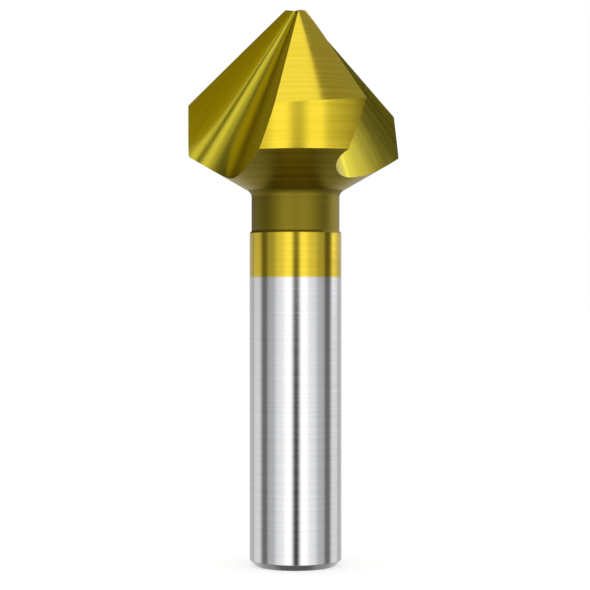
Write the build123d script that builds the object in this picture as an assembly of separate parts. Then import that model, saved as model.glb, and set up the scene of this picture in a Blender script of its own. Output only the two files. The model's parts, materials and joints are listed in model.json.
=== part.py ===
from build123d import *
import os
from math import radians, sqrt, tan

# Three-flute 90 degree countersink bit, turned and ground from one bar of high speed steel.
# Millimetres. The origin is the centre of the flat shank end, and +Z runs up to the point.

# Sizes of the turned body
overall_length = 72.4
head_diameter = 28.0
shank_diameter = 12.0
neck_diameter = 11.5
tip_flat_diameter = 3.0
point_angle = 90.0
land_length = 6.5
back_angle = 120.0
neck_length = 5.0
neck_fillet = 1.0
shank_chamfer = 0.8
shank_chamfer_angle = 45.0

# Sizes of the ground flutes, with both radii as they are at the foot of the land
flute_count = 3
first_edge_angle = -50.5
rake_angle = 19.3
gullet_opening = 78.7
gullet_radius = 5.5
gullet_lean = 33.5
gullet_lead = 8.8
gullet_vertex_back = 0.7
gullet_vertex_side = 0.6
heel_radius = 70.0
heel_sweep = 25.0

# Sizes of the relief behind each cutting edge
clearance_angle = 3.6
land_relief = 0.2
grinding_allowance = 0.2

# Heights and radii worked out from the sizes above
head_radius = head_diameter / 2
shank_radius = shank_diameter / 2
neck_radius = neck_diameter / 2
tip_radius = tip_flat_diameter / 2
half_point = radians(point_angle / 2)
half_back = radians(back_angle / 2)
cone_bottom = overall_length - (head_radius - tip_radius) / tan(half_point)
virtual_point = cone_bottom + head_radius / tan(half_point)
land_bottom = cone_bottom - land_length
neck_top = land_bottom - (head_radius - neck_radius) / tan(half_back)
neck_bottom = neck_top - neck_length
shoulder_bottom = neck_bottom - (shank_radius - neck_radius)
land_pitch = 360 / flute_count


def turned_body():
    """The bar as it leaves the lathe, with its point left full for the relief grinding."""
    chamfer_rise = shank_chamfer * tan(radians(shank_chamfer_angle))
    full_tip_radius = tip_radius + grinding_allowance * tan(half_point)
    outline = Polyline(
        (0, 0),
        (shank_radius - shank_chamfer, 0),
        (shank_radius, chamfer_rise),
        (shank_radius, shoulder_bottom),
        (neck_radius, neck_bottom),
        (neck_radius, neck_top),
        (head_radius, land_bottom),
        (head_radius, cone_bottom + grinding_allowance),
        (full_tip_radius, overall_length),
        (0, overall_length),
        close=True,
    )
    half_section = make_face(outline)
    crevice = half_section.vertices().sort_by_distance((neck_radius, neck_top))[0]
    half_section = fillet(crevice, neck_fillet)
    return revolve(Plane.XZ * half_section, Axis.Z)


def gullet_circle(depth):
    """Centre and radius of the round gullet bottom, at a depth below the virtual point."""
    growth = depth / (virtual_point - land_bottom)
    vertex = Vector(-gullet_vertex_back, gullet_vertex_side)
    run = depth * tan(radians(gullet_lean))
    centre = vertex + Vector(run, 0).rotate(Axis.Z, gullet_lead)
    return centre, gullet_radius * growth


def rake_line(depth):
    """Foot and outward direction of the flat rake face, which is tangent to the gullet."""
    centre, radius = gullet_circle(depth)
    outward = Vector(1, 0).rotate(Axis.Z, rake_angle)
    return centre + outward.rotate(Axis.Z, -90) * radius, outward


def heel_arc(depth):
    """Start, middle and end of the heel wall, a wide arc tangent to the gullet."""
    centre, radius = gullet_circle(depth)
    to_wall = Vector(1, 0).rotate(Axis.Z, rake_angle + gullet_opening + 90)
    start = centre + to_wall * radius
    wide_radius = to_wall * heel_radius * radius / gullet_radius
    wide_centre = start - wide_radius
    middle = wide_centre + wide_radius.rotate(Axis.Z, -heel_sweep / 2)
    end = wide_centre + wide_radius.rotate(Axis.Z, -heel_sweep)
    return start, middle, end


def edge_point(height, radius):
    """Where the cutting edge crosses a height: the rake line out to the body's radius."""
    foot, outward = rake_line(virtual_point - height)
    along = foot.dot(outward)
    reach = sqrt(radius**2 - foot.length**2 + along**2) - along
    return foot + outward * reach + Vector(0, 0, height)


def gullet_section(height):
    """Closed section of one flute, square to the bit's axis."""
    depth = virtual_point - height
    centre, radius = gullet_circle(depth)
    rake_foot, rake_way = rake_line(depth)
    reach = 3 * head_radius * radius / gullet_radius
    rake_end = rake_foot + rake_way * reach
    heel_foot, heel_middle, heel_end = heel_arc(depth)
    deepest = centre - rake_way.rotate(Axis.Z, gullet_opening / 2) * radius
    outline = Curve() + [
        ThreePointArc(rake_foot, deepest, heel_foot),
        ThreePointArc(heel_foot, heel_middle, heel_end),
        Polyline(heel_end, rake_end, rake_foot),
    ]
    return Pos(0, 0, height) * make_face(outline)


def flute():
    """One ground flute: a conical gullet that widens and leans outward from the point down."""
    above_tip = (virtual_point + overall_length) / 2
    return loft([gullet_section(above_tip), gullet_section(neck_bottom)], ruled=True)


def relief_waste():
    """What relief grinding takes off behind one cutting edge.

    The relieved cone is the point's own cone, turned about the cutting edge by the
    clearance angle. The relieved land is a smaller cylinder, set over to touch the edge.
    """
    form_depth = virtual_point - neck_bottom
    form_middle = Pos(0, 0, virtual_point - form_depth / 2)
    corner = edge_point(cone_bottom, head_radius)
    tip = edge_point(overall_length, tip_radius)
    blank_cone = form_middle * Cone(form_depth * tan(half_point), 0, form_depth)
    relieved_cone = blank_cone.rotate(Axis(tip, corner - tip), clearance_angle)
    set_over = Vector(corner.X, corner.Y).normalized() * land_relief
    smaller_cylinder = Cylinder(head_radius - land_relief, form_depth)
    relieved_land = Pos(set_over) * form_middle * smaller_cylinder
    spoke = Vector(2 * head_radius, 0)
    spoke_angles = (land_pitch / 3, -land_pitch / 6, -2 * land_pitch / 3)
    sector_corners = [spoke.rotate(Axis.Z, angle) for angle in spoke_angles]
    sector_face = make_face(Polyline((0, 0), *sector_corners, close=True))
    sector = extrude(Pos(0, 0, neck_top) * sector_face, virtual_point - neck_top)
    return sector - (relieved_cone & relieved_land)


def countersink_bit():
    """The finished bit: the turned body, relieved and fluted once for each cutting edge."""
    bit = turned_body()
    for index in range(flute_count):
        turn = Rot(0, 0, first_edge_angle + index * land_pitch)
        bit -= turn * relief_waste()
        bit -= turn * flute()
    return bit


os.makedirs("parts", exist_ok=True)
export_step(countersink_bit(), "parts/countersink_bit.step")
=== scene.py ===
import json
from math import atan2, cos, pi, radians, sin, sqrt, tan

import bmesh
import bpy
from mathutils import Matrix, Vector


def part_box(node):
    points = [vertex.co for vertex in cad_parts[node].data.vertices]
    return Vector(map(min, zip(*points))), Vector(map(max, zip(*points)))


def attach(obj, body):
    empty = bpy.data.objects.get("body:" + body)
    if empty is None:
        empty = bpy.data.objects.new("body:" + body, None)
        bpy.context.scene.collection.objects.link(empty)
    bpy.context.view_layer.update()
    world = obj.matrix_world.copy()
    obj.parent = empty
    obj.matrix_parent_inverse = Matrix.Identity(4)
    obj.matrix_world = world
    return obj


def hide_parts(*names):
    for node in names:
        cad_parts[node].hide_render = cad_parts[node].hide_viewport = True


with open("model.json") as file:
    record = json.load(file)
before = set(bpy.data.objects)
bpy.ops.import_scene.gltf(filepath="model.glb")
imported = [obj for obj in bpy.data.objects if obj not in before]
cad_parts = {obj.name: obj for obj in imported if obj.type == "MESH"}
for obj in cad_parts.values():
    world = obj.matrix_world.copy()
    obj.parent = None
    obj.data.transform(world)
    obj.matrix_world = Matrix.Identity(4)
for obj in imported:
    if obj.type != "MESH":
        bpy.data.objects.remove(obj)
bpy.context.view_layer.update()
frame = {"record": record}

# ---------------------------------------------------------------------------------------------
# The shank. High speed steel, turned and then ground round to the size that a chuck grips, with
# its end faced flat and chamfered. The bit is held by the shank while it is coated, so the
# lower part stays bare and the nitride fades out over a fraction of a millimetre.
# ---------------------------------------------------------------------------------------------

# Lengths are in millimetres up to the finished bit, and mm turns them into metres.
mm = 0.001
overall_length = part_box("countersink_bit")[1].z / mm
mounts = {mount["name"]: mount for mount in frame["record"]["mounts"]}
shank_radius = mounts["shank"]["dims"]["r_mm"]
shank_chamfer = 0.8
shoulder_bottom = shank_chamfer + mounts["shank"]["dims"]["length_mm"]
turned_edge = 0.05


def eased_corner(before, corner, after, width):
    """Two points that stand for a turned corner with its sharpness taken off."""
    before, corner, after = Vector(before), Vector(corner), Vector(after)
    return [corner + (before - corner).normalized() * width,
            corner + (after - corner).normalized() * width]


chamfer_foot = (shank_radius - shank_chamfer, 0)
chamfer_head = (shank_radius, shank_chamfer)
shoulder_foot = (shank_radius, shoulder_bottom)
shank_outline = (eased_corner((0, 0), chamfer_foot, chamfer_head, turned_edge)
                 + eased_corner(chamfer_foot, chamfer_head, shoulder_foot, turned_edge))


def hex_colour(text):
    """sRGB hex text as linear red, green, blue and alpha, by the sRGB formula."""
    levels = [int(text[i:i + 2], 16) / 255 for i in (1, 3, 5)]
    return [v / 12.92 if v <= 0.04045 else ((v + 0.055) / 1.055)**2.4 for v in levels] + [1]


def add_node(tree, kind, inputs=None, **settings):
    """Adds one shader node. An input takes a plain value or another node's output."""
    node = tree.nodes.new("ShaderNode" + kind)
    for name, value in settings.items():
        setattr(node, name, value)
    for socket, source in (inputs or {}).items():
        if isinstance(source, bpy.types.NodeSocket):
            tree.links.new(source, node.inputs[socket])
        else:
            node.inputs[socket].default_value = source
    return node


def empty_material(name):
    """A material with an empty node tree."""
    material = bpy.data.materials.new(name)
    material.use_nodes = True
    material.node_tree.nodes.clear()
    return material


# A wheel's or tool's marks are noise drawn out along its path. Detail and unevenness say how
# much finer the marks get within each other. Most of the noise lies from faint to strong. The
# gloss lies a quarter turn from the way that the marks run.
mark_detail = 3.0
mark_unevenness = 0.6
faint_mark = 0.3
strong_mark = 0.7
quarter_turn = 0.25

# A Mix node has its colours under these numbers, because other sockets share their names.
mix_first, mix_second, mixed = 6, 7, 2


def marks_round_axis(tree, spacing, run):
    """Marks that a wheel or tool leaves round the bit: their spacing along the axis and the
    run of one mark round it, in millimetres."""
    place = add_node(tree, "TexCoord")
    drawn_out = add_node(tree, "Mapping", {
        "Vector": place.outputs["Object"],
        "Scale": (1 / (run * mm), 1 / (run * mm), 1 / (spacing * mm))})
    marks = add_node(tree, "TexNoise", {
        "Vector": drawn_out.outputs["Vector"], "Scale": 1.0, "Detail": mark_detail,
        "Roughness": mark_unevenness})
    return marks.outputs["Fac"]


def marked_metal(tree, marks, dark, light, smooth, rough, mark_depth, anisotropy):
    """Ground or turned metal. Its marks carry a small change of colour and roughness and a
    relief whose depth is in micrometres. Anisotropy draws its reflections out across the
    marks, which run round the axis."""
    tint = add_node(tree, "MapRange", {
        "Value": marks, "From Min": faint_mark, "From Max": strong_mark})
    colour = add_node(tree, "Mix", {
        "Factor": tint.outputs["Result"], mix_first: dark, mix_second: light}, data_type="RGBA")
    roughness = add_node(tree, "MapRange", {
        "Value": marks, "From Min": faint_mark, "From Max": strong_mark,
        "To Min": smooth, "To Max": rough})
    relief = add_node(tree, "Bump", {"Height": marks, "Distance": mark_depth * mm * mm})
    tangent = add_node(tree, "Tangent", direction_type="RADIAL", axis="Z")
    shader = add_node(tree, "BsdfPrincipled", {
        "Base Color": colour.outputs[mixed], "Metallic": 1.0,
        "Roughness": roughness.outputs["Result"],
        "Anisotropic": anisotropy, "Anisotropic Rotation": quarter_turn,
        "Tangent": tangent.outputs["Tangent"], "Normal": relief.outputs["Normal"]})
    add_node(tree, "OutputMaterial", {"Surface": shader.outputs["BSDF"]})


# Steel ground between centres looks bright and a little streaked round the bar, and draws its
# reflections out into upright bands. Real grinding marks are near 0.02 mm apart, and they are
# drawn 0.3 mm apart so that they show. Above the start of the coating the steel is gold.
shank_mark_spacing = 0.3
shank_mark_run = 30.0
coating_start = 37.6
coating_fade = 0.35
ground_shank = empty_material("ground_high_speed_steel")
tree = ground_shank.node_tree
marks = marks_round_axis(tree, shank_mark_spacing, shank_mark_run)
place = add_node(tree, "TexCoord")
height = add_node(tree, "SeparateXYZ", {"Vector": place.outputs["Object"]})
coated = add_node(tree, "MapRange", {
    "Value": height.outputs["Z"], "From Min": (coating_start - coating_fade / 2) * mm,
    "From Max": (coating_start + coating_fade / 2) * mm})
dark = add_node(tree, "Mix", {
    "Factor": coated.outputs["Result"], mix_first: hex_colour("#DEDFE1"),
    mix_second: hex_colour("#DABF34")}, data_type="RGBA")
light = add_node(tree, "Mix", {
    "Factor": coated.outputs["Result"], mix_first: hex_colour("#E8E9EB"),
    mix_second: hex_colour("#E6CC44")}, data_type="RGBA")
marked_metal(tree, marks, dark.outputs[mixed], light.outputs[mixed],
             smooth=0.14, rough=0.18, mark_depth=0.5, anisotropy=0.7)

# ---------------------------------------------------------------------------------------------
# The neck. The same bar, turned a little thinner than the shank so that the wheels that grind
# the head and shank run clear of each other. It is coated and keeps its turned surface.
# ---------------------------------------------------------------------------------------------

head_radius = 14.0
neck_radius = 5.75
neck_length = 5.0
neck_fillet = 1.0
land_length = 6.5
tip_radius = 1.5
half_point = radians(45)
half_back = radians(60)
cone_bottom = overall_length - (head_radius - tip_radius) / tan(half_point)
land_bottom = cone_bottom - land_length
neck_top = land_bottom - (head_radius - neck_radius) / tan(half_back)
neck_bottom = neck_top - neck_length
fillet_steps = 10

neck_foot = (neck_radius, neck_bottom)
neck_outline = (eased_corner(chamfer_head, shoulder_foot, neck_foot, turned_edge)
                + eased_corner(shoulder_foot, neck_foot, (neck_radius, neck_top), turned_edge))
back_rise = pi / 2 - half_back
fillet_centre = Vector((neck_radius + neck_fillet, neck_top - neck_fillet * tan(back_rise)))
for step in range(fillet_steps + 1):
    angle = pi - (pi / 2 - back_rise) * step / fillet_steps
    neck_outline.append(fillet_centre + Vector((cos(angle), sin(angle))) * neck_fillet)

# Nitride on turned steel is a duller gold than on ground steel, because the tool's feed leaves
# fine rings that scatter the light. Its colour is also painted darker than the lands' gold, as
# painted shade under the head. The rings are near 0.1 mm apart and are drawn at 0.4 mm.
neck_ring_spacing = 0.4
neck_ring_run = 60.0
shaded_turned_neck = empty_material("nitride_on_turned_neck")
tree = shaded_turned_neck.node_tree
marks = marks_round_axis(tree, neck_ring_spacing, neck_ring_run)
marked_metal(tree, marks, hex_colour("#887A22"), hex_colour("#9C8C2C"),
             smooth=0.46, rough=0.54, mark_depth=3.0, anisotropy=0.3)

# ---------------------------------------------------------------------------------------------
# The back cone, turned from the same bar. It joins the head to the neck at a steep taper, and
# its rings are the ones most easily seen on the bit. The flutes run out through it.
# ---------------------------------------------------------------------------------------------

# The tool's feed is a little coarser here than on the neck, so the nitride shows the rings as
# fine dark and light lines. Both golds are painted darker than the lands', as painted shade on
# the underside of the head. The rings are near 0.15 mm apart and are drawn at 0.5 mm.
back_ring_spacing = 0.5
back_ring_run = 60.0
shaded_turned_back = empty_material("nitride_on_turned_back")
tree = shaded_turned_back.node_tree
marks = marks_round_axis(tree, back_ring_spacing, back_ring_run)
marked_metal(tree, marks, hex_colour("#9C8A1C"), hex_colour("#C2AC2A"),
             smooth=0.26, rough=0.36, mark_depth=4.0, anisotropy=0.3)

# ---------------------------------------------------------------------------------------------
# The flutes. Three are ground into the head with a round-cornered wheel, on lines that meet
# near the point, so each grows with depth below it. One side is the flat rake face, then come
# the round bottom and the heel wall, which is slightly hollow.
# ---------------------------------------------------------------------------------------------

flute_count = 3
land_pitch = 2 * pi / flute_count
first_edge_angle = radians(-50.5)
rake_angle = radians(19.3)
gullet_opening = radians(78.7)
gullet_radius = 5.5
gullet_lean = radians(33.5)
gullet_lead = radians(8.8)
gullet_vertex = Vector((-0.7, 0.6))
heel_radius = 70.0
virtual_point = cone_bottom + head_radius / tan(half_point)


def spoke(angle):
    """A unit step out from the axis."""
    return Vector((cos(angle), sin(angle)))


# The flute's section at a depth of 1 mm below the point. Distances along it start at the foot
# of the rake face: below zero is the rake face, then the round bottom, then the heel wall.
bottom_size = gullet_radius / (virtual_point - land_bottom)
heel_size = heel_radius / (virtual_point - land_bottom)
bottom_centre = spoke(gullet_lead) * tan(gullet_lean)
bottom_length = bottom_size * (pi - gullet_opening)
rake_way = spoke(rake_angle)
rake_foot = bottom_centre + spoke(rake_angle - pi / 2) * bottom_size
heel_start = rake_angle + gullet_opening + pi / 2
heel_centre = bottom_centre + spoke(heel_start) * (bottom_size - heel_size)


def flute_section(distance):
    """A point of the section, and the way that the ground surface faces there."""
    if distance < 0:
        return rake_foot - rake_way * distance, spoke(rake_angle + pi / 2)
    if distance < bottom_length:
        out = spoke(rake_angle - pi / 2 - distance / bottom_size)
        return bottom_centre + out * bottom_size, -out
    out = spoke(heel_start - (distance - bottom_length) / heel_size)
    return heel_centre + out * heel_size, -out


def flute_point(distance, height):
    """A point of the flute's surface, in the flute's own frame, at one height."""
    shape, _ = flute_section(distance)
    return gullet_vertex + shape * (virtual_point - height)


def flute_facing(distance):
    """The way that the flute's surface faces, which is the same at every height."""
    shape, facing = flute_section(distance)
    return Vector((facing.x, facing.y, shape.dot(facing))).normalized()


# The wheel leaves marks along the flute, which scatter more light than those on the lands. The
# marks all run to the point, so the pattern is a section of the flute that grows with depth.
# Marks that are near 0.05 mm apart at the foot of the land are drawn 0.6 mm apart. The flute's
# gold is painted a little darker than the lands', as painted shade in the hollow.
flute_mark_spacing = 0.6
flute_mark_run = 9.0
marks_per_unit = (virtual_point - land_bottom) / flute_mark_spacing
marks_along = 1 / (flute_mark_run * marks_per_unit * mm)
shaded_ground_flute = empty_material("nitride_in_ground_flute")
tree = shaded_ground_flute.node_tree
place = add_node(tree, "TexCoord")
axes = add_node(tree, "SeparateXYZ", {"Vector": place.outputs["Object"]})
depth = add_node(tree, "Math", {0: virtual_point * mm, 1: axes.outputs["Z"]},
                 operation="SUBTRACT")
across = add_node(tree, "Math", {0: axes.outputs["X"], 1: depth.outputs["Value"]},
                  operation="DIVIDE")
aside = add_node(tree, "Math", {0: axes.outputs["Y"], 1: depth.outputs["Value"]},
                 operation="DIVIDE")
along = add_node(tree, "Math", {0: depth.outputs["Value"], 1: marks_along},
                 operation="MULTIPLY")
fan = add_node(tree, "CombineXYZ", {
    "X": across.outputs["Value"], "Y": aside.outputs["Value"], "Z": along.outputs["Value"]})
marks = add_node(tree, "TexNoise", {
    "Vector": fan.outputs["Vector"], "Scale": marks_per_unit, "Detail": mark_detail,
    "Roughness": mark_unevenness})
marked_metal(tree, marks.outputs["Fac"], hex_colour("#B3A62C"), hex_colour("#C1B334"),
             smooth=0.22, rough=0.27, mark_depth=1.2, anisotropy=0.0)

# ---------------------------------------------------------------------------------------------
# The lands and the point. Behind each cutting edge the cone and the land are ground away a
# little more the farther back they go, so that only the edge touches the work. The end of the
# point is left flat.
# ---------------------------------------------------------------------------------------------

clearance_angle = radians(3.6)
land_relief = 0.2
ground_edge = 0.015


def edge_point(height, radius):
    """The cutting edge's point at one height, where the rake face reaches the radius."""
    foot = flute_point(0, height)
    along = foot.dot(rake_way)
    reach = sqrt(radius**2 - foot.length_squared + along**2) - along
    return (foot + rake_way * reach).to_3d() + Vector((0, 0, height))


edge_corner = edge_point(cone_bottom, head_radius)
edge_tip = edge_point(overall_length, tip_radius)
untilt = Matrix.Rotation(-clearance_angle, 3, edge_corner - edge_tip)
land_centre = edge_corner.to_2d().normalized() * land_relief


def reach_relieved_cone(start, way):
    """How far along a line the cone behind the cutting edge lies. It is the full cone, tilted
    back about the edge by the clearance angle."""
    slope = tan(half_point)
    start = untilt @ (start - edge_tip) + edge_tip - Vector((0, 0, virtual_point))
    way = untilt @ way
    # The line meets the cone where a, b and c make a quadratic in the reach come to nothing.
    a = way.x**2 + way.y**2 - (slope * way.z)**2
    b = 2 * (start.x * way.x + start.y * way.y - slope**2 * start.z * way.z)
    c = start.x**2 + start.y**2 - (slope * start.z)**2
    root = sqrt(max(b * b - 4 * a * c, 0))
    reaches = [(-b + root) / (2 * a), (-b - root) / (2 * a)]
    below_point = [r for r in reaches if r > 0 and (start + way * r).z < 0]
    return min(below_point) if below_point else max(reaches)


def land_radius(angle):
    """Radius of the land, which is a smaller cylinder that is set over to meet the edge."""
    along = land_centre.dot(spoke(angle))
    return along + sqrt(along**2 - land_relief**2 + (head_radius - land_relief)**2)


def land_foot_height(angle):
    """Where the land meets the back cone, lower where its radius is less."""
    return land_bottom - (head_radius - land_radius(angle)) / tan(half_back)


def land_head_height(angle):
    """Where the land meets the relieved cone."""
    wall = (spoke(angle) * land_radius(angle)).to_3d()
    return reach_relieved_cone(wall, Vector((0, 0, 1)))


# Nitride on a ground land is the brightest gold of the bit. The wheel's marks run round it, and
# are drawn 0.35 mm apart in place of 0.02 mm.
land_mark_spacing = 0.35
land_mark_run = 25.0
ground_land = empty_material("nitride_on_ground_land")
tree = ground_land.node_tree
marks = marks_round_axis(tree, land_mark_spacing, land_mark_run)
marked_metal(tree, marks, hex_colour("#DCC22E"), hex_colour("#E8CE3C"),
             smooth=0.12, rough=0.18, mark_depth=0.6, anisotropy=0.0)

# ---------------------------------------------------------------------------------------------
# The finished bit, one bar of coated steel. Its surface is one closed skin of rows round the
# axis, each row with three lands and three flutes. Below the lowest point of the flutes the
# rows are plain circles.
# ---------------------------------------------------------------------------------------------

# How finely the skin is divided. Rows crowd towards the end of the flutes and the point, where
# an eased edge takes at most a fifth of the land or flute that it trims.
land_columns = 44
flute_columns = 44
row_columns = land_columns + flute_columns
back_rows = 30
land_rows = 16
cone_rows = 60
back_crowding = 2.0
cone_crowding = 1.3
widest_edge_share = 0.2

# How closely points are searched for. The search across a flute reaches past its walls, by a
# distance along the section at a depth of 1 mm. Points nearer than same_place metres are one.
bottom_samples = 200
halvings = 40
height_rounds = 8
search_reach = 2.0
same_place = 1e-8


def back_radius(height):
    """Radius of the back cone."""
    return neck_radius + (height - neck_top) * tan(half_back)


def outer_radius(zone, angle, height):
    """Radius of the bit between the flutes, in the back cone, the land or the relieved cone."""
    if zone == "back":
        return back_radius(height)
    if zone == "land":
        return land_radius(angle)
    return reach_relieved_cone(Vector((0, 0, height)), spoke(angle).to_3d())


def deepest_distance(height):
    """Where along the section the flute comes nearest to the axis."""
    samples = [bottom_length * step / bottom_samples for step in range(bottom_samples + 1)]
    return min(samples, key=lambda distance: flute_point(distance, height).length)


def lowest_flute_height():
    """Where the flute first breaks out through the back cone."""
    low, high = neck_top - neck_fillet, land_bottom
    for _ in range(halvings):
        middle = (low + high) / 2
        if flute_point(deepest_distance(middle), middle).length < back_radius(middle):
            high = middle
        else:
            low = middle
    return high


flute_end_height = lowest_flute_height()
flute_end = flute_point(deepest_distance(flute_end_height), flute_end_height)
flute_end_angle = atan2(flute_end.y, flute_end.x)


def row_height(zone, share, angle):
    """Height of a row of the head at one angle, at a share of the way up its zone."""
    levels = {"back": (lambda a: flute_end_height, land_foot_height),
              "land": (land_foot_height, land_head_height),
              "cone": (land_head_height, lambda a: overall_length)}
    low, high = levels[zone]
    return low(angle) + (high(angle) - low(angle)) * share


def section_crossing(zone, share, side):
    """Where a row meets the flute on its rake or heel side: distance along the section,
    height, and angle in the frame of the land that meets it there."""
    land_turn = 0 if side == "rake" else -land_pitch
    reach = -search_reach if side == "rake" else search_reach
    height = row_height(zone, share, flute_end_angle + land_turn)
    for _ in range(height_rounds):
        inside = deepest_distance(height)
        outside = inside + reach
        for _ in range(halvings):
            middle = (inside + outside) / 2
            point = flute_point(middle, height)
            angle = atan2(point.y, point.x) + land_turn
            if point.length < outer_radius(zone, angle, height):
                inside = middle
            else:
                outside = middle
        height = row_height(zone, share, angle)
    return inside, height, angle


def head_row(zone, share):
    """A third of the closed line of points round the head at one row: a land, then a flute.
    Each point comes with the way that the surface faces, which stays zero outside the flute."""
    rake_end, rake_height, rake_turn = section_crossing(zone, share, "rake")
    heel_end, heel_height, heel_turn = section_crossing(zone, share, "heel")
    depth = virtual_point - (rake_height + heel_height) / 2
    width = min(ground_edge, widest_edge_share * (heel_end - rake_end) * depth)
    radius = outer_radius(zone, rake_turn, rake_height)
    trim = min(width / radius, widest_edge_share * (rake_turn - heel_turn))
    inset = width / depth
    points = []
    for column in range(land_columns):
        across = column / (land_columns - 1)
        angle = heel_turn + trim + (rake_turn - heel_turn - 2 * trim) * across
        height = row_height(zone, share, angle)
        flat = spoke(angle) * outer_radius(zone, angle, height)
        points.append((Vector((flat.x, flat.y, height)), Vector()))
    for column in range(flute_columns):
        across = column / (flute_columns - 1)
        distance = rake_end + inset + (heel_end - rake_end - 2 * inset) * across
        height = rake_height + (heel_height - rake_height) * across
        flat = flute_point(distance, height)
        points.append((Vector((flat.x, flat.y, height)), flute_facing(distance)))
    return points


def turned_row(radius, height):
    """A third of a plain circle, with the points of the flute all in one place."""
    points = []
    for column in range(row_columns):
        across = min(column / (land_columns - 1), 1)
        flat = spoke(flute_end_angle - land_pitch * (1 - across)) * radius
        points.append((Vector((flat.x, flat.y, height)), Vector()))
    return points


# The rows from the shank end up. Each comes with the finish of the strip above it.
rows = [(turned_row(*point), ground_shank) for point in shank_outline]
rows += [(turned_row(*point), shaded_turned_neck) for point in neck_outline]
rows[-1] = (rows[-1][0], shaded_turned_back)
rows.append((turned_row(back_radius(flute_end_height), flute_end_height), shaded_turned_back))
back_end = 1 - ground_edge / (land_bottom - flute_end_height)
for step in range(1, back_rows + 1):
    rows.append((head_row("back", back_end * (step / back_rows)**back_crowding), shaded_turned_back))
for zone, count, length, crowding in (
        ("land", land_rows, land_length, 1),
        ("cone", cone_rows, overall_length - cone_bottom, cone_crowding)):
    trim = ground_edge / length
    for step in range(count + 1):
        share = 1 - (1 - step / count)**crowding
        rows.append((head_row(zone, trim + (1 - 2 * trim) * share), ground_land))
tip_shrink = 1 - ground_edge / tip_radius
tip_row = [(Vector((point.x * tip_shrink, point.y * tip_shrink, overall_length)), Vector())
           for point, _ in head_row("cone", 1)]
rows.append((tip_row, ground_land))

shell = bmesh.new()
finishes = [ground_shank, shaded_turned_neck, shaded_turned_back, shaded_ground_flute, ground_land]
facing_layer = shell.verts.layers.float_vector.new("facing")
rings = []
for third, _ in rows:
    ring = []
    for flute in range(flute_count):
        turn = Matrix.Rotation(first_edge_angle + flute * land_pitch, 3, "Z")
        for point, facing in third:
            vertex = shell.verts.new(turn @ point * mm)
            vertex[facing_layer] = turn @ facing
            ring.append(vertex)
    rings.append(ring)
for lower, upper, (_, finish) in zip(rings, rings[1:], rows):
    for column in range(flute_count * row_columns):
        following = (column + 1) % (flute_count * row_columns)
        face = shell.faces.new((lower[column], lower[following],
                                upper[following], upper[column]))
        in_flute = column % row_columns >= land_columns - 1
        face.material_index = finishes.index(shaded_ground_flute if in_flute else finish)
        face.smooth = True
shank_end = shell.faces.new(reversed(rings[0]))
shank_end.material_index = finishes.index(ground_shank)
point_end = shell.faces.new(rings[-1])
point_end.material_index = finishes.index(ground_land)
bmesh.ops.remove_doubles(shell, verts=shell.verts, dist=same_place)

skin = bpy.data.meshes.new("coated_bit")
shell.to_mesh(skin)
shell.free()
for finish in finishes:
    skin.materials.append(finish)

# A point in a flute is shaded by the way it faces, and any other by its largest faces, which
# keeps the wide faces flat right up to the narrow edges between them.
directions = [Vector() for _ in skin.vertices]
for face in skin.polygons:
    for index in face.vertices:
        directions[index] += face.normal * (face.area / mm**2)**2
for index, known in enumerate(skin.attributes["facing"].data):
    if known.vector.length > 0:
        directions[index] = known.vector.copy()
skin.attributes.remove(skin.attributes["facing"])
skin.normals_split_custom_set_from_vertices([way.normalized() for way in directions])

bit = bpy.data.objects.new("coated_bit", skin)
bpy.context.scene.collection.objects.link(bit)
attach(bit, "root")
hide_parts("countersink_bit")

# ---------------------------------------------------------------------------------------------
# The floor, the light and the camera. The bit stands on a pale painted floor under one softbox.
# Bright and dark panels stand round it, which give ground metal its bands. The camera looks
# level at the front of the bit, a little under half way up. Lengths here are in metres.
# ---------------------------------------------------------------------------------------------

# Matt white paint takes the soft shadow of the bit, and the camera sees it lifted to near white.
# The bit doesn't mirror the floor itself: the ground panels below stand for it.
floor_reach = 3.0
floor_lift = 0.5
scene = bpy.context.scene
scene.view_settings.view_transform = "Standard"
corners = [(-floor_reach, -floor_reach, 0), (floor_reach, -floor_reach, 0),
           (floor_reach, floor_reach, 0), (-floor_reach, floor_reach, 0)]
floor_mesh = bpy.data.meshes.new("pale_floor")
floor_mesh.from_pydata(corners, [], [(0, 1, 2, 3)])
floor = bpy.data.objects.new("pale_floor", floor_mesh)
scene.collection.objects.link(floor)
floor.visible_glossy = False
paint = empty_material("white_painted_floor")
tree = paint.node_tree
path = add_node(tree, "LightPath")
coat = add_node(tree, "BsdfDiffuse", {"Color": hex_colour("#E8E8E6")})
lift = add_node(tree, "Math", {0: path.outputs["Is Camera Ray"], 1: floor_lift},
                operation="MULTIPLY")
glow = add_node(tree, "Emission", {
    "Color": hex_colour("#FFFFFF"), "Strength": lift.outputs["Value"]})
both = add_node(tree, "AddShader", {0: coat.outputs["BSDF"], 1: glow.outputs["Emission"]})
add_node(tree, "OutputMaterial", {"Surface": both.outputs["Shader"]})
floor_mesh.materials.append(paint)

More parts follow.
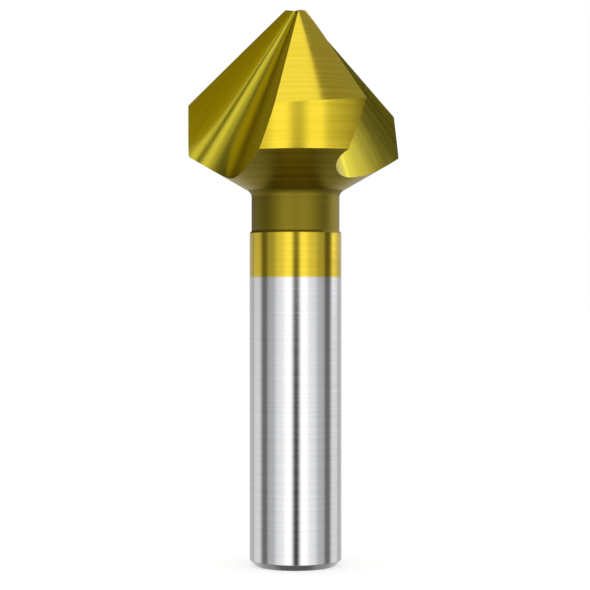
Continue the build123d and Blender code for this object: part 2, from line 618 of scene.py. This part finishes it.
# The panels round the bit: pairs of an azimuth in degrees, where 0 is the front and 90 the
# right, and a brightness. The shank and neck mirror the low ones, and the head mostly the high
# ones and those on the ground. All are turned a little to the right.
panel_turn = radians(1.6)
low_right = [(0, 0.02), (4, 0.03), (13, 1.36), (25, 1.34), (33, 1.06), (48, 0.92),
             (58, 0.56), (72, 0.52), (80, 0.17), (91, 0.17), (103, 0.82), (124, 0.80),
             (132, 0.52), (180, 0.62)]
low_left = [(-angle, level) for angle, level in reversed(low_right) if angle > 0]
high_right = [(0, 0.84), (3.5, 0.86), (12, 1.3), (25, 1.3), (33, 0.75), (45, 0.6),
              (58, 0.48), (70, 0.30), (78, 0.18), (83, 0.02), (97, 0.03), (101, 0.30),
              (106, 2.6), (113, 2.6), (121, 1.3), (150, 1.2), (163, 0.30), (180, 0.10)]
high_left = [(-180, 0.10), (-95, 0.10), (-72, 0.20), (-60, 0.30), (-52, 0.46), (-45, 0.7),
             (-33, 0.95), (-25, 1.35), (-12, 1.35), (-3.5, 0.86)]
ground_round = [(-180, 0.09), (-172, 0.14), (-160, 0.40), (-130, 0.24), (-70, 0.12),
                (-45, 0.50), (45, 0.50), (70, 0.12), (140, 0.3), (155, 0.40), (168, 0.07)]
ceiling_level = 0.34
shade_level = 0.12
backdrop_level = 1.0
fill_level = 0.65

# The borders between the panels, each a pair of heights on a ball round the bit of radius 1:
# where one starts to give way to the next, and where it is gone.
high_border = (0.052, 0.066)
ceiling_border = (0.62, 0.72)
ground_border = (-0.46, -0.64)
shade_border = (-0.86, -0.93)

studio = bpy.data.worlds.new("studio")
scene.world = studio
studio.use_nodes = True
tree = studio.node_tree
tree.nodes.clear()
direction = add_node(tree, "TexCoord")
axes = add_node(tree, "SeparateXYZ", {"Vector": direction.outputs["Generated"]})
forward = add_node(tree, "Math", {0: axes.outputs["Y"], 1: -1.0}, operation="MULTIPLY")
azimuth = add_node(tree, "Math", {0: axes.outputs["X"], 1: forward.outputs["Value"]},
                   operation="ARCTAN2")
around = add_node(tree, "MapRange", {
    "Value": azimuth.outputs["Value"],
    "From Min": panel_turn - pi, "From Max": panel_turn + pi})

# A colour ramp holds levels up to 1, so each is a share of the brightest panel's.
brightest = max(level for _, level in high_right)


def panels(stops):
    """A band of panels all the way round the bit."""
    bands = add_node(tree, "ValToRGB", {"Fac": around.outputs["Result"]})
    ramp = bands.color_ramp
    while len(ramp.elements) < len(stops):
        ramp.elements.new(position=0.5)
    for element, (angle, level) in zip(ramp.elements, stops):
        element.position = (angle + 180) / 360
        element.color = [level / brightest] * 3 + [1]
    return bands.outputs["Color"]


def past_border(base, other, border):
    """The base, and the other panel past the border between them."""
    share = add_node(tree, "MapRange", {
        "Value": axes.outputs["Z"], "From Min": border[0], "From Max": border[1]})
    joined = add_node(tree, "Mix", {
        "Factor": share.outputs["Result"], mix_first: base, mix_second: other},
        data_type="RGBA")
    return joined.outputs[mixed]


ceiling_grey = [ceiling_level / brightest] * 3 + [1]
shade_grey = [shade_level / brightest] * 3 + [1]
walls = past_border(panels(low_left + low_right), panels(high_left + high_right), high_border)
upper = past_border(walls, ceiling_grey, ceiling_border)
lower = past_border(panels(ground_round), shade_grey, shade_border)
panelled = past_border(upper, lower, ground_border)

# The camera sees a white backdrop, the metal mirrors the panels, and the floor gets plain fill.
white = hex_colour("#FFFFFF")
path = add_node(tree, "LightPath")
backdrop = add_node(tree, "Background", {"Color": white, "Strength": backdrop_level})
mirrored = add_node(tree, "Background", {"Color": panelled, "Strength": brightest})
fill = add_node(tree, "Background", {"Color": white, "Strength": fill_level})
lit = add_node(tree, "MixShader", {
    "Fac": path.outputs["Is Glossy Ray"], 1: fill.outputs["Background"],
    2: mirrored.outputs["Background"]})
seen = add_node(tree, "MixShader", {
    "Fac": path.outputs["Is Camera Ray"], 1: lit.outputs["Shader"],
    2: backdrop.outputs["Background"]})
add_node(tree, "OutputWorld", {"Surface": seen.outputs["Shader"]})

softbox_level = 0.84
softbox_width = 0.34
softbox_depth = 0.36
softbox_aside = -0.075
softbox_height = 0.65
softbox = bpy.data.lights.new("overhead_softbox", "AREA")
softbox.shape = "RECTANGLE"
softbox.size = softbox_width
softbox.size_y = softbox_depth
softbox.energy = softbox_level * pi * softbox_width * softbox_depth
lamp = bpy.data.objects.new("overhead_softbox", softbox)
lamp.location = (softbox_aside, 0, softbox_height)
scene.collection.objects.link(lamp)

camera_aside = -0.000065
camera_distance = 0.2353
camera_height = 0.0353
camera_data = bpy.data.cameras.new("camera")
camera_data.lens = 109.8
camera_data.sensor_width = 36
camera = bpy.data.objects.new("camera", camera_data)
camera.location = (camera_aside, -camera_distance, camera_height)
camera.rotation_euler = (pi / 2, 0, 0)
scene.collection.objects.link(camera)
scene.camera = camera
